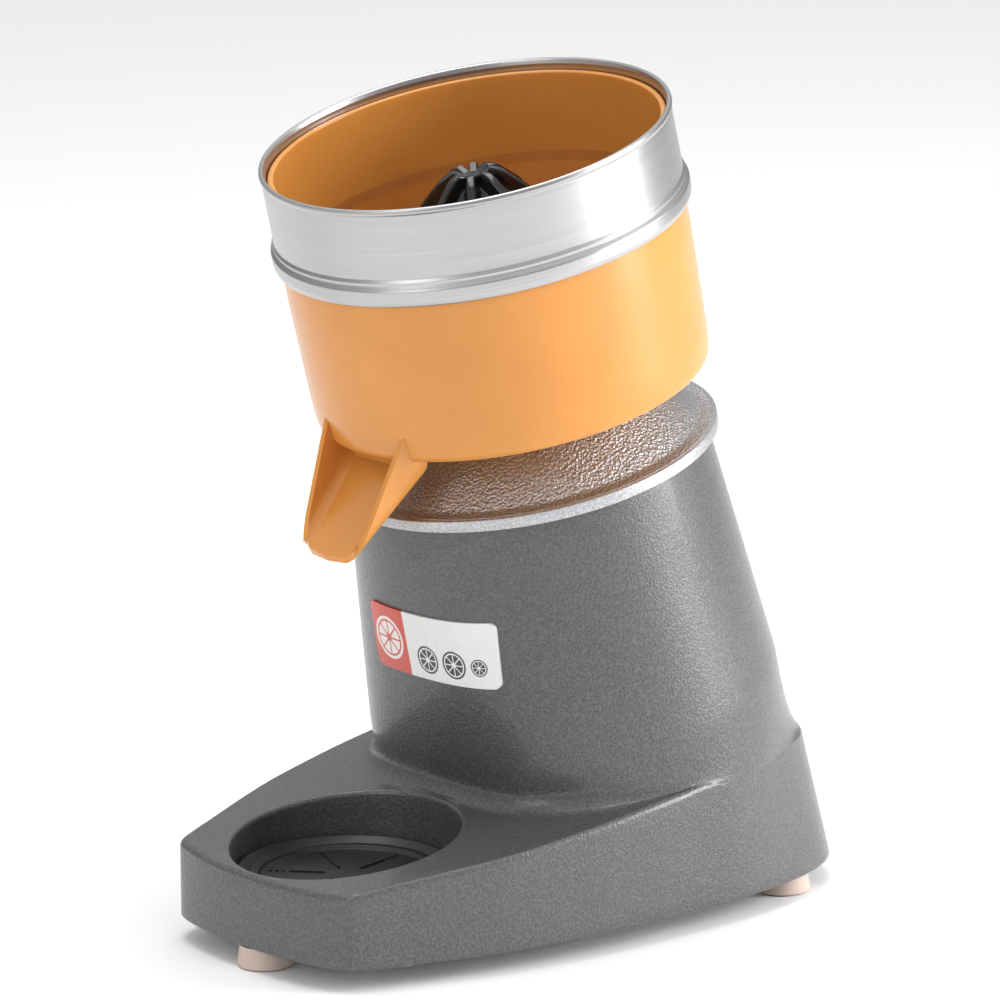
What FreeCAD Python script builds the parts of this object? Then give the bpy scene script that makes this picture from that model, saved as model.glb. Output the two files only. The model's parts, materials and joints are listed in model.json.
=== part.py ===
import FreeCAD, Part
import math
import os

V = FreeCAD.Vector

# ---------------------------------------------------------------------------
# Citrus press juicer.  Millimetres, +Z up, front of the machine towards -Y.
# Origin: centre of the overall box, on the surface the feet stand on.
# The motor, the bowl and everything on it share one axis that leans forward.
# Pieces on that axis are drawn upright round local Z and set with leaned().
# ---------------------------------------------------------------------------

# overall
base_front, base_rear = -148.6, 136.0      # lower edge of the base casting
base_half_width = 88.6
rear_side_draft = 0.18                     # how much the rear corners lean in
base_bottom = 9.0                          # lower edge above the worktop
wall = 5.0                                 # casting wall

# leaning axis
lean = 12.72                               # degrees forward
axis_y, axis_z = 6.6, 191.0                # where the axis meets the casting's top face

# column (radius grows downwards, front is flattened)
column_top_r, column_taper, column_max_r = 76.0, 0.103, 87.0
front_flat_top, front_flat_drop = 81.0, 0.031
column_foot_r = 14.0                       # radius where the column meets the base
column_depth = 138.0
split_z, split_y = 72.0, -46.0             # planes that part the casting into column, front and rear

# glass recess in the base
recess_x, recess_y, recess_r = 0.0, -94.4, 47.8
recess_floor, recess_wall = 27.0, 4.0

# flange
flange_r, flange_t = 80.9, 5.2
neck_r, neck_top = 47.0, 31.2
spigot_r, spigot_h = 69.1, 5.0
nose_r, nose_top = 18.5, 40.0

# bowl
bowl_bottom, bowl_wall = 31.5, 2.5
floor_split_r = 56.0                       # the floor piece ends here, on the flat
bowl_r_low, bowl_r_high, bowl_r_rim = 83.4, 84.4, 83.0
bowl_step, bowl_rim = 108.0, 139.2
chimney_r, chimney_top = 21.4, 52.0
spout_root, spout_tip = (60.0, 29.2), (110.5, -2.6)
spout_back = 69.5                          # rear face of the trough's closed end
spout_half_root, spout_half_tip = 27.0, 18.5
spout_corner = 7.5

# splash ring
ring_bottom, ring_top = 102.1, 143.7
ring_r, ring_ridge_r, ring_bead_r = 85.4, 86.3, 87.5
ring_inner = 83.5

# strainer
strainer_seat, strainer_r, strainer_t = 38.3, 79.8, 1.0
strainer_hole = 24.6

# reamer
reamer_bottom, reamer_top, reamer_r = 66.0, 129.4, 41.0
reamer_ribs = 8

# motor
shaft_r, shaft_low_r = 7.5, 6.0
stator_r, stator_bore, stack_top, stack_low = 56.0, 31.0, -36.0, -86.0
rotor_r = 30.5
pin_h = 80.5                               # cross pin that drives the reamer
end_shield_low, end_shield_top = -126.0, -114.0
tie_r = 60.5

# tray
tray_r, tray_top = 44.6, 33.5

# feet and fasteners
foot_places = {"front_foot": (0.0, -138.0), "rear_left_foot": (-66.3, 89.0),
               "rear_right_foot": (66.3, 89.0)}
foot_r = 11.7
cover_bottom, cover_t = 10.5, 1.5
cover_screws = [(sx * x, y) for x, y in ((60.5, -113.0), (77.5, -6.0), (60.0, 112.5))
                for sx in (-1, 1)]

# rear fittings
gland_z, gland_end = 27.0, 150.0
pad_z, pad_face, pad_w, pad_h = 58.0, 132.6, 36.0, 27.0
pivot_y = 129.6                            # rocker pivot, behind the bezel


# ---------------------------------------------------------------------------
# helpers
# ---------------------------------------------------------------------------
def leaned(shape):
    """Set a piece drawn round local Z on the leaning axis."""
    shape = shape.copy()
    shape.rotate(V(0, 0, 0), V(1, 0, 0), lean)
    shape.translate(V(0, axis_y, axis_z))
    return shape


def rounded(points, close=True):
    """Wire through corner points (a, b, radius), each corner rounded by an arc."""
    corners = [(V(p[0], 0, p[1]), p[2] if len(p) > 2 else 0.0) for p in points]
    count = len(corners)
    runs = []
    for i, (here, radius) in enumerate(corners):
        before, after = corners[i - 1][0], corners[(i + 1) % count][0]
        if radius <= 0:
            runs.append((here, None, here))
            continue
        back = (before - here).normalize()
        ahead = (after - here).normalize()
        half = back.getAngle(ahead) / 2
        reach = radius / math.tan(half)
        middle = (back + ahead).normalize() * (radius / math.sin(half) - radius)
        runs.append((here + back * reach, here + middle, here + ahead * reach))
    edges = []
    for i, (start, middle, end) in enumerate(runs):
        if middle is not None:
            edges.append(Part.Arc(start, middle, end).toShape())
        following = runs[(i + 1) % count][0]
        if end.distanceToPoint(following) > 1e-6 and (close or i < count - 1):
            edges.append(Part.makeLine(end, following))
    return Part.Wire(edges)


def spun(points):
    """Solid of revolution round Z from a closed (radius, height, corner) outline."""
    face = Part.Face(rounded(points))
    return face.revolve(V(0, 0, 0), V(0, 0, 1), 360)


def slab(points, depth, x0=None):
    """Prism from a closed (y, z, corner) outline, centred on x or starting at x0."""
    face = Part.Face(rounded(points))
    solid = face.extrude(V(0, depth, 0))
    solid.translate(V(0, -depth / 2, 0))
    solid.rotate(V(0, 0, 0), V(0, 0, 1), 90)
    if x0 is not None:
        solid.translate(V(x0 + depth / 2, 0, 0))
    return solid


def rod(radius, low, high, x=0.0, y=0.0):
    return Part.makeCylinder(radius, high - low, V(x, y, low))


def tube(outer, inner, low, high):
    return rod(outer, low, high).cut(rod(inner, low - 1, high + 1))


def box(x0, x1, y0, y1, z0, z1):
    return Part.makeBox(x1 - x0, y1 - y0, z1 - z0, V(x0, y0, z0))


def polar(radius, count, start=0.0):
    """Points of a bolt circle."""
    turns = [math.radians(start + 360.0 * i / count) for i in range(count)]
    return [(radius * math.sin(t), -radius * math.cos(t)) for t in turns]


def closed_curve(points):
    curve = Part.BSplineCurve()
    curve.interpolate(points, PeriodicFlag=True)
    return Part.Wire(curve.toShape())


def union(shapes):
    first = shapes[0]
    return first.multiFuse(shapes[1:]).removeSplitter() if len(shapes) > 1 else first


def cap_screw(radius, low, high, head_r, head_h, x, y, head_down=True):
    """Cap screw with a hexagon socket; the head is at the lower or upper end."""
    head_low = low if head_down else high - head_h
    socket = Part.makePolygon([V(x + 0.5 * head_r * math.cos(math.radians(60 * k)),
                                 y + 0.5 * head_r * math.sin(math.radians(60 * k)), 0)
                               for k in range(7)])
    depth = 0.6 * head_h
    mouth = low if head_down else high - depth
    socket = Part.Face(socket).extrude(V(0, 0, depth))
    socket.translate(V(0, 0, mouth))
    return rod(radius, low, high, x, y).fuse(rod(head_r, head_low, head_low + head_h, x, y)).cut(socket)


# ---------------------------------------------------------------------------
# body casting
# ---------------------------------------------------------------------------
front_corner = (57.0, -140.3)              # corner between the bowed front and the side
side_points = [(60.5, -129.8), (69.5, -104.0), (79.2, -73.0), (86.6, -27.0), (88.6, 24.0), (84.6, 76.0),
               (66.5, 117.0), (26.0, 134.4)]
corner_top_r, corner_low_r = 4.0, 13.0


def base_outline(z, inset):
    """Plan outline of the base at height z: bowed front, corners that soften downwards, boat-like sides."""
    rise = z - base_bottom

    def drafted(x, y):
        share = (y - base_front) / (base_rear - base_front)
        rear = min(max((y - 40.0) / 70.0, 0.0), 1.0)
        narrowing = 0.012 * rise + inset + rear_side_draft * rise * rear * rear * (3 - 2 * rear)
        moved = y + (1 - share) * (0.09 * rise + inset) - share * (0.20 * rise + inset)
        return V(x * (1 - narrowing / base_half_width), moved, z)

    radius = corner_low_r + (corner_top_r - corner_low_r) * min(max(rise / 30.0, 0), 1)
    radius = max(radius - inset, 2.0)
    corner, nose = drafted(*front_corner), drafted(0, base_front)
    side = [drafted(x, y) for x, y in side_points]
    to_front = (drafted(front_corner[0] - 10, front_corner[1] - 3.3) - corner).normalize()
    to_side = (side[0] - corner).normalize()
    half = to_front.getAngle(to_side) / 2
    reach = radius / math.tan(half)
    first, last = corner + to_front * reach, corner + to_side * reach
    middle = corner + (to_front + to_side).normalize() * (radius / math.sin(half) - radius)

    def mirror(p):
        return V(-p.x, p.y, p.z)

    run = [last] + side + [drafted(0, base_rear)] + [mirror(p) for p in reversed(side)] + [mirror(last)]
    sides = Part.BSplineCurve()
    sides.interpolate(run)
    return Part.Wire([Part.Arc(mirror(first), nose, first).toShape(), Part.Arc(first, middle, last).toShape(),
                      sides.toShape(), Part.Arc(mirror(last), mirror(middle), mirror(first)).toShape()])


deck_points = [(-165.0, 36.2), (-137.0, 40.6), (-95.0, 46.8), (-26.0, 55.8), (22.0, 61.5),
               (60.0, 68.0), (100.0, 68.8), (150.0, 69.6)]


def deck_height(y):
    """Height of the base's top face along the middle, by straight runs."""
    for (y0, z0), (y1, z1) in zip(deck_points, deck_points[1:]):
        if y <= y1:
            return z0 + (z1 - z0) * (y - y0) / (y1 - y0)
    return deck_points[-1][1]


def below_deck(drop):
    """Everything under the base's gently curved top face, lowered by drop."""
    curve = Part.BSplineCurve()
    curve.interpolate([V(-120, y, z - drop) for y, z in deck_points])
    first, last = curve.value(curve.FirstParameter), curve.value(curve.LastParameter)
    low_last, low_first = V(-120, last.y, -5), V(-120, first.y, -5)
    edges = [curve.toShape(), Part.makeLine(last, low_last),
             Part.makeLine(low_last, low_first), Part.makeLine(low_first, first)]
    return Part.Face(Part.Wire(edges)).extrude(V(240, 0, 0))


def column_radius(theta, h, inset, foot):
    """Radius of the leaning column: a cone with a flattened front and a flared foot."""
    cone = min(column_top_r - column_taper * h, column_max_r)
    flat = front_flat_top + front_flat_drop * h
    power = 16
    radius = cone
    if math.cos(theta) > 0.05:
        radius = (cone ** -power + (flat / math.cos(theta)) ** -power) ** (-1.0 / power)
    if foot:
        tilt = math.radians(lean)
        v = -radius * math.cos(theta)
        y = axis_y - h * math.sin(tilt) + v * math.cos(tilt)
        z = axis_z + h * math.cos(tilt) + v * math.sin(tilt)
        above = max(z - deck_height(y), 1.0)
        if above < column_foot_r:
            flare = column_foot_r - math.sqrt(column_foot_r ** 2 - (column_foot_r - above) ** 2)
            radius += flare * math.cos(theta / 2) ** 4
    return radius - inset


def column_section(h, inset, foot):
    points = []
    for k in range(40):
        theta = 2 * math.pi * k / 40
        theta = theta if theta <= math.pi else theta - 2 * math.pi
        r = column_radius(abs(theta), h, inset, foot)
        points.append(V(r * math.sin(theta), -r * math.cos(theta), h))
    return closed_curve(points)


def column(top, heights, inset, foot):
    sections = [column_section(h, inset, foot) for h in [top] + heights]
    return leaned(Part.makeLoft(sections, True, True))


def make_body():
    outer = Part.makeLoft([base_outline(base_bottom, 0), base_outline(100, 0)], True, True)
    base = outer.common(below_deck(0))
    rim = [e for e in base.Edges
           if min(p.z for p in e.discretize(9)) > base_bottom + 15]
    base = base.makeFillet(3.5, rim)
    shaft_walls = column(0.0, [-45, -90, -103, -109, -114, -118, -121, -124, -column_depth], 0, True)
    cup = rod(recess_r + recess_wall, recess_floor - recess_wall, 60, recess_x, recess_y)
    cup = cup.common(below_deck(0.4)).common(outer)

    room = Part.makeLoft([base_outline(base_bottom - 1, wall), base_outline(100, wall)], True, True)
    room = room.common(below_deck(wall))
    motor_room = column(-spigot_h, [-30, -60, -90, -120, -column_depth - 20], wall, False)
    motor_room = motor_room.cut(box(-120, 120, -200, 200, -80, base_bottom - 1))
    ledge = Part.makeLoft([base_outline(base_bottom - 1, 2.6),
                           base_outline(cover_bottom + cover_t, 2.6)], True, True)

    body = base.fuse(shaft_walls).cut(room.fuse(motor_room))
    bosses = [rod(6.0, cover_bottom + cover_t, 24, x, y) for x, y in cover_screws]
    front_x, front_y = foot_places["front_foot"]
    bosses.append(rod(6.5, cover_bottom + cover_t, 37, front_x, front_y))
    for name in ("rear_left_foot", "rear_right_foot"):
        x, y = foot_places[name]
        bosses.append(rod(9.0, cover_bottom + cover_t, 40, x, y))
        bosses.append(box(min(x, 1.4 * x), max(x, 1.4 * x), y - 4, y + 4, cover_bottom + cover_t, 40))
    lugs = [leaned(rod(9.0, -17, -spigot_h - 0.2, x, y)) for x, y in polar(64.0, 3, 45)]
    bosses = [b.common(outer.fuse(shaft_walls)) for b in bosses + lugs]
    pad = box(-pad_w / 2, pad_w / 2, 112, pad_face, pad_z - pad_h / 2, pad_z + pad_h / 2)
    pad = pad.makeFillet(4, [e for e in pad.Edges if abs(e.Vertexes[0].Y - e.Vertexes[-1].Y) > 5])
    pad = pad.cut(motor_room)
    body = body.multiFuse([cup, pad] + bosses)

    cuts = [rod(recess_r, recess_floor, 70, recess_x, recess_y), ledge,
            leaned(rod(spigot_r + 0.1, -spigot_h - 0.1, 2)),
            box(-14, 14, 100, 140, pad_z - 10, pad_z + 10)]
    cuts += [rod(1.7, 8, 22, x, y) for x, y in cover_screws]
    cuts += [rod(2.1, 8, 30, x, y) for x, y in foot_places.values()]
    cuts += [leaned(rod(2.8, -20, 0, x, y)) for x, y in polar(64.0, 3, 45)]
    bore = Part.makeCylinder(8.2, 30, V(0, 115, gland_z), V(0, 1, 0))
    return body.cut(cuts + [bore])


# ---------------------------------------------------------------------------
# flange, bowl, ring, strainer
# ---------------------------------------------------------------------------
def make_flange():
    disc = spun([(0, -spigot_h), (spigot_r, -spigot_h, 0.6), (spigot_r, 0), (flange_r, 0, 0.7),
                 (flange_r, flange_t, 0.9), (74, flange_t + 0.9, 4), (neck_r + 5, 23.5, 10),
                 (neck_r, neck_top, 1.5), (nose_r, neck_top, 2.0), (nose_r - 1, nose_top, 1.5),
                 (0, nose_top)])
    hollow = spun([(27, -spigot_h - 1), (54, -spigot_h - 1), (54, 2), (42, 18, 3), (27, 18)])
    hub = rod(27.5, -16, -spigot_h + 1)
    ribs = []
    for k in range(6):
        rib = box(-2, 2, 20, 66, -12, 1)
        rib.rotate(V(0, 0, 0), V(0, 0, 1), 60 * k + 30)
        ribs.append(rib)
    part = union([disc.cut(hollow), hub] + ribs)
    cuts = [rod(17.5, -17, -2), rod(9.5, -3, nose_top + 1), rod(12.5, nose_top - 7, nose_top + 1),
            Part.makeCylinder(1.3, 5, V(0, -flange_r - 1, flange_t / 2), V(0, 1, 0))]
    cuts += [rod(2.1, -6, 2, x, y) for x, y in polar(64.0, 3, 45)]
    cuts += [rod(2.0, -13, 2, x, y) for x, y in polar(tie_r, 4, 0)]
    return leaned(part.cut(cuts))


def trough(half_root, half_tip, corner, lift, overrun):
    """U channel along the spout's floor line, drawn as a loft between two U sections."""
    root, tip = V(0, -spout_root[0], spout_root[1]), V(0, -spout_tip[0], spout_tip[1])
    along = (tip - root).normalize()
    across, rise = V(1, 0, 0), V(0, along.z, -along.y)
    rise = rise if rise.z > 0 else rise * -1
    sections = []
    for centre, half in ((root, half_root), (tip + along * overrun, half_tip)):
        start = centre + rise * lift
        wire = rounded([(-half, 60), (-half, 0, corner), (half, 0, corner), (half, 60)])
        placed = wire.copy()
        placed.transformShape(FreeCAD.Matrix(across.x, along.x, rise.x, start.x,
                                             across.y, along.y, rise.y, start.y,
                                             across.z, along.z, rise.z, start.z,
                                             0, 0, 0, 1))
        sections.append(placed)
    return Part.makeLoft(sections, True, True)


def bowl_moulding(piece):
    """The bowl as three touching pieces: its wall, its floor with the chimney, and the pouring spout."""
    t = bowl_wall
    outside = [(chimney_r, bowl_bottom), (82.6, bowl_bottom, 4.0), (bowl_r_low, 44.0, 60),
               (bowl_r_high, 88.0), (bowl_r_high, bowl_step, 0.5), (bowl_r_rim, bowl_step, 0.4), (bowl_r_rim, bowl_rim, 1.1)]
    inside = [(bowl_r_rim - t, bowl_rim, 1.1), (bowl_r_rim - t, bowl_step - 4, 4),
              (bowl_r_high - t, bowl_step - 9, 4), (bowl_r_high - t, 88.0),
              (bowl_r_low - t, 44.0, 60), (80.1, bowl_bottom + t, 2.0),
              (chimney_r + t, bowl_bottom + t, 4), (chimney_r + t - 0.4, chimney_top, 1.1),
              (chimney_r, chimney_top, 1.0)]
    filled = spun([(0, bowl_bottom)] + outside[1:] + [(0, bowl_rim)])
    side = slab([(-spout_back, 15), (-spout_tip[0], spout_tip[1] - 0.9), (-spout_tip[0] - 1.3, 1.0, 1.0),
                 (-106.0, 5.5, 2), (-79.5, 43.5), (-spout_back, 43.5)], 80)
    outer = trough(spout_half_root, spout_half_tip, spout_corner, 0, 3).common(side)
    inner = trough(spout_half_root - t, spout_half_tip - t, spout_corner - t, t, 12)
    inner = inner.common(box(-40, 40, -140, -spout_back - t, -40, 80))
    if piece == "spout":
        return leaned(outer.cut(inner).cut(filled))

    mouth = box(-15, 15, -77.5, -spout_back - t, bowl_bottom - 1, bowl_bottom + t + 0.5)
    lugs = []
    for k in range(4):
        lug = box(-5, 5, 74.5, 81.2, bowl_bottom + 1, strainer_seat - 0.3)
        lug.rotate(V(0, 0, 0), V(0, 0, 1), 45 + 90 * k)
        lugs.append(lug)
    shell = union([spun(outside + inside).cut(mouth)] + lugs)
    middle = rod(floor_split_r, bowl_bottom - 1, chimney_top + 1)
    return leaned(shell.common(middle) if piece == "floor" else shell.cut(middle))


def make_ring():
    bead = 2.2
    return leaned(spun([
        (ring_inner + 1.4, ring_bottom + 0.8, 0.5), (ring_inner + 2.4, ring_bottom, 0.5),
        (ring_bead_r - 0.8, ring_bottom, 1.0), (ring_bead_r, ring_bottom + 2.5, 2.5),
        (ring_bead_r, ring_bottom + 7.0, 1.6), (ring_ridge_r - 0.5, ring_bottom + 9.2, 0.7),
        (ring_ridge_r, ring_bottom + 10.3, 0.6), (ring_r + 0.05, ring_bottom + 11.6, 1.5),
        (ring_r - 0.15, ring_top - bead - 0.8, 0.6), (ring_r + 0.1, ring_top - bead, 0.5),
        (ring_r, ring_top, 0.9), (ring_inner + 0.1, ring_top, 0.7),
        (ring_inner + 0.1, ring_top - bead, 0.5), (ring_inner, ring_top - bead - 1.0, 0.5),
        (ring_inner, bowl_step + 2.2, 0.8), (ring_inner + 1.4, bowl_step + 0.4, 0.5)]))


def make_strainer():
    r, low = strainer_r, strainer_seat
    plate = spun([(strainer_hole, low, 0), (r, low, 1.4), (r, low + 5, 0.2),
                  (r - strainer_t, low + 5, 0.2), (r - strainer_t, low + strainer_t, 0.6),
                  (strainer_hole + strainer_t, low + strainer_t, 0.6),
                  (strainer_hole + strainer_t, low + 9, 0.2), (strainer_hole, low + 9, 0.2)])
    slots = []
    for radius, count, length in ((36.0, 24, 11.0), (51.5, 30, 12.0), (67.5, 40, 12.0)):
        for k in range(count):
            slot = box(-0.8, 0.8, radius - length / 2, radius + length / 2, low - 1, low + 3)
            slot.rotate(V(0, 0, 0), V(0, 0, 1), 360.0 * k / count)
            slots.append(slot)
    return leaned(plate.cut(Part.makeCompound(slots)))


# ---------------------------------------------------------------------------
# reamer and its drive
# ---------------------------------------------------------------------------
def reamer_profile(grow):
    low, top, r = reamer_bottom, reamer_top, reamer_r
    return [(0, low), (r - 4 + grow, low, 1.0), (r - 4 + grow, low + 3, 1.2),
            (r - 9 + grow, low + 18, 30), (21.5 + grow, top - 17 + grow, 16),
            (0, top - 4.5 + grow, 0)]


def make_reamer():
    core = spun(reamer_profile(-2.5))
    blade = Part.Face(rounded(reamer_profile(3.6))).extrude(V(0, 3.6, 0))
    blade.translate(V(0, -1.8, 0))
    blades = []
    for k in range(reamer_ribs):
        copy = blade.copy()
        copy.rotate(V(0, 0, 0), V(0, 0, 1), 360.0 * k / reamer_ribs)
        blades.append(copy)
    cone = union([core] + blades)
    hollow = spun([(0, reamer_bottom - 1), (reamer_r - 10, reamer_bottom - 1),
                   (reamer_r - 11, reamer_bottom + 3, 1), (19, reamer_bottom + 27, 8),
                   (11.5, reamer_bottom + 34, 1), (11.5, reamer_bottom + 44), (0, reamer_bottom + 44)])
    hub = tube(16.0, 11.5, reamer_bottom + 6, reamer_bottom + 45)
    return leaned(cone.cut(hollow).fuse(hub.cut(rod(11.5, 60, reamer_bottom + 44))))


def make_drive_insert():
    sleeve = tube(11.4, shaft_low_r + 0.1, reamer_bottom + 6, reamer_bottom + 41)
    slot = box(-2.4, 2.4, -14, 14, reamer_bottom + 5, reamer_bottom + 17)
    return leaned(sleeve.cut(slot))


# ---------------------------------------------------------------------------
# motor
# ---------------------------------------------------------------------------
def make_shaft():
    shaft = spun([(0, -133), (shaft_low_r - 1, -133, 0), (shaft_low_r, -132, 0),
                  (shaft_low_r, -112), (9.0, -112, 0.4), (9.0, -15, 0.4), (shaft_r, -15),
                  (shaft_r, 44, 0.5), (shaft_low_r, 44), (shaft_low_r, 102, 1.0), (0, 102)])
    return leaned(shaft.cut(Part.makeCylinder(2.0, 30, V(0, -15, pin_h), V(0, 1, 0))))


def make_stator():
    body = tube(stator_r, stator_bore, stack_low, stack_top)
    slots = []
    for k in range(24):
        slot = box(-2.6, 2.6, 34, 45, stack_low - 1, stack_top + 1)
        mouth = box(-0.9, 0.9, 30, 35, stack_low - 1, stack_top + 1)
        for piece in (slot, mouth):
            piece.rotate(V(0, 0, 0), V(0, 0, 1), 15 * k)
            slots.append(piece)
    return leaned(body.cut(Part.makeCompound(slots)))


def make_winding(low, high):
    return leaned(spun([(33.5, low, 4), (53.0, low, 6), (53.0, high, 6), (33.5, high, 4)]))


def make_rotor():
    core = tube(rotor_r, 9.0, stack_low + 1, stack_top - 1)
    ends = [tube(rotor_r - 2, 18, stack_top - 1, stack_top + 5),
            tube(rotor_r - 2, 18, stack_low - 5, stack_low + 1)]
    return leaned(union([core] + ends))


def make_fan():
    hub = tube(12.0, 9.0, -109, -93)
    disc = tube(29.5, 11.0, -94.5, -93)
    blades = []
    for k in range(9):
        blade = box(-0.8, 0.8, 11, 29, -106, -94)
        blade.rotate(V(0, 0, 0), V(0, 0, 1), 40 * k)
        blades.append(blade)
    return leaned(union([hub, disc] + blades))


def make_end_shield():
    dish = spun([(6.6, end_shield_low), (22, end_shield_low, 1.5), (22, end_shield_low + 4, 2),
                 (58, end_shield_top - 6, 2), (66, end_shield_top - 4, 1), (66, end_shield_top, 1),
                 (16, end_shield_top), (16, end_shield_low + 2), (6.6, end_shield_low + 2)])
    windows = []
    for x, y in polar(40.0, 6, 30):
        windows.append(rod(7.5, end_shield_low - 5, end_shield_top + 2, x, y))
    holes = [rod(2.0, end_shield_low, end_shield_top + 1, x, y) for x, y in polar(tie_r, 4, 0)]
    return leaned(dish.cut(windows + holes))


def make_tie_bolts():
    bolts = []
    for x, y in polar(tie_r, 4, 0):
        low = end_shield_top - 9.9
        stud = rod(2.0, low, -1, x, y)
        nut = rod(3.8, low, low + 3.6, x, y)
        bolts.append(leaned(stud.fuse(nut)))
    return Part.makeCompound(bolts)


def bearing(outer, inner, low, high):
    """Shielded ball bearing drawn as one ring with a groove round each face."""
    ring = tube(outer, inner, low, high)
    mid = (outer + inner) / 2
    groove = tube(mid + 2.2, mid - 2.2, high - 0.6, high + 1)
    lower = tube(mid + 2.2, mid - 2.2, low - 1, low + 0.6)
    return leaned(ring.cut([groove, lower]))


# ---------------------------------------------------------------------------
# base fittings
# ---------------------------------------------------------------------------
def make_tray():
    floor = recess_floor + 2.6
    tray = spun([(0, recess_floor + 0.3), (tray_r - 4.0, recess_floor + 0.3, 1.5),
                 (tray_r, tray_top - 1.2, 1), (tray_r, tray_top, 0.6), (tray_r - 1.8, tray_top, 0.6),
                 (tray_r - 5.5, floor + 1.5, 1.5), (36.5, floor + 1.5, 0.8), (35.5, floor, 0.8), (0, floor)])
    marks = []
    for k in range(6):
        rib = box(-0.5, 0.5, 9, 24, floor - 0.5, floor + 0.7)
        dots = [rod(0.8, floor - 0.5, floor + 0.6, 0, r) for r in (26.5, 29.2, 31.9)]
        for mark in [rib] + dots:
            mark.rotate(V(0, 0, 0), V(0, 0, 1), 60 * k + 10)
            marks.append(mark)
    tray = union([tray] + marks)
    tray.translate(V(recess_x, recess_y, 0))
    return tray


def make_foot(name):
    foot = spun([(0, 0), (foot_r, 0, 0.8), (foot_r - 1.3, base_bottom - 0.1, 0), (7.2, base_bottom - 0.1),
                 (7.2, cover_bottom), (0, cover_bottom)])
    foot = foot.cut([rod(2.3, -1, 12), rod(5.0, -1, 5.0)])
    foot.translate(V(*foot_places[name], 0))
    return foot


def make_foot_screws():
    return Part.makeCompound([cap_screw(2.0, 1.6, 26, 4.2, 3.3, x, y)
                              for x, y in foot_places.values()])


def make_cover():
    low, high = cover_bottom, cover_bottom + cover_t
    plate = Part.makeLoft([base_outline(low, 3.1), base_outline(high, 3.1)], True, True)
    holes = [rod(1.9, 5, 20, x, y) for x, y in cover_screws]
    holes += [rod(2.4, 5, 20, x, y) for x, y in foot_places.values()]
    for k in range(7):
        vent = box(-22, 22, 20 + 9 * k, 23 + 9 * k, low - 1, high + 1)
        holes.append(vent.makeFillet(1.4, [e for e in vent.Edges if e.Length < 4]))
    return plate.cut(holes)


def make_cover_screws():
    return Part.makeCompound([cap_screw(1.6, cover_bottom - 2.2, 21, 3.0, 2.2, x, y)
                              for x, y in cover_screws])


def make_capacitor():
    can = Part.makeCylinder(16.0, 62, V(-31, 2, 30), V(1, 0, 0))
    can = can.makeFillet(1.5, can.Edges[:1])
    studs = [Part.makeCylinder(1.6, 8, V(30.5, 2 + dy, 30), V(1, 0, 0)) for dy in (-6, 6)]
    return union([can] + studs)


def make_clip():
    low = cover_bottom + cover_t
    saddle = Part.makeCylinder(17.2, 14, V(-7, 2, 30), V(1, 0, 0))
    legs = box(-7, 7, 2 - 17.2, 2 + 17.2, low, 30)
    tabs = box(-7, 7, 2 - 27, 2 + 27, low, low + 1.2)
    inside = Part.makeCylinder(16.05, 20, V(-10, 2, 30), V(1, 0, 0))
    lower = box(-8, 8, 2 - 16.05, 2 + 16.05, low - 1, 30)
    return saddle.fuse(legs).cut([inside, lower]).fuse(tabs)


def make_terminal_block():
    block = box(-20, 20, 96, 108, 12.0, 26)
    cuts = [rod(2.2, 20, 28, x, 102) for x in (-14, -4.7, 4.7, 14)]
    cuts += [box(x - 0.6, x + 0.6, 95, 109, 19, 28) for x in (-9.3, 0, 9.3)]
    return block.cut(cuts)


def make_name_plate():
    skin = column(-39, [-71], -1.0, False)
    inside = column(-38, [-72], -0.1, False)
    frame = rounded([(-27.0, -69.2, 3), (44.6, -69.2, 3), (44.6, -40.6, 3), (-27.0, -40.6, 3)])
    window = Part.Face(frame).extrude(V(0, -120, 0))
    return skin.cut(inside).common(leaned(window))


def make_switch_housing():
    face = pad_face
    bezel = box(-15.5, 15.5, face, face + 2.0, pad_z - 11.5, pad_z + 11.5)
    bezel = bezel.makeFillet(1.5, [e for e in bezel.Edges if abs(e.tangentAt(e.FirstParameter).y) > 0.9])
    shell = box(-13.8, 13.8, face - 20, face + 0.5, pad_z - 9.8, pad_z + 9.8)
    well = box(-12.0, 12.0, face - 12, face + 5, pad_z - 8.2, pad_z + 8.2)
    tabs = [box(x - 3, x + 3, face - 28, face - 19, pad_z - 0.4, pad_z + 0.4) for x in (-7, 7)]
    pivot = Part.makeCylinder(1.55, 40, V(-20, pivot_y, pad_z), V(1, 0, 0))
    return bezel.fuse(shell).cut([well, pivot]).multiFuse(tabs)


def make_rocker():
    y, z = pad_face, pad_z
    profile = [(y - 6, z - 5, 1), (y + 1.5, z - 7.4, 0.8), (y + 4.2, z - 7.2, 0.8), (y + 2.0, z, 12),
               (y + 4.2, z + 7.2, 0.8), (y + 1.5, z + 7.4, 0.8), (y - 6, z + 5, 1)]
    return slab(profile, 23.2).fuse(Part.makeCylinder(1.5, 26.4, V(-13.2, pivot_y, pad_z), V(1, 0, 0)))


def make_gland():
    def along(radius, y0, y1):
        return Part.makeCylinder(radius, y1 - y0, V(0, y0, gland_z), V(0, 1, 0))
    body = along(8.0, 116, 138).fuse(hexagon(11.0, 135.2, 139.5))
    dome = along(9.6, 139.5, 147).fuse(Part.makeCone(9.6, 6.5, gland_end - 147,
                                                     V(0, 147, gland_z), V(0, 1, 0)))
    return body.fuse(dome).cut(along(3.6, 110, 160))


def hexagon(radius, y0, y1):
    corners = [V(radius * math.cos(math.radians(60 * k)), y0, gland_z + radius * math.sin(math.radians(60 * k)))
               for k in range(7)]
    return Part.Face(Part.makePolygon(corners)).extrude(V(0, y1 - y0, 0))


def make_gland_nut():
    bore = Part.makeCylinder(8.0, 20, V(0, 110, gland_z), V(0, 1, 0))
    return hexagon(10.6, 119, 124).cut(bore)


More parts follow.
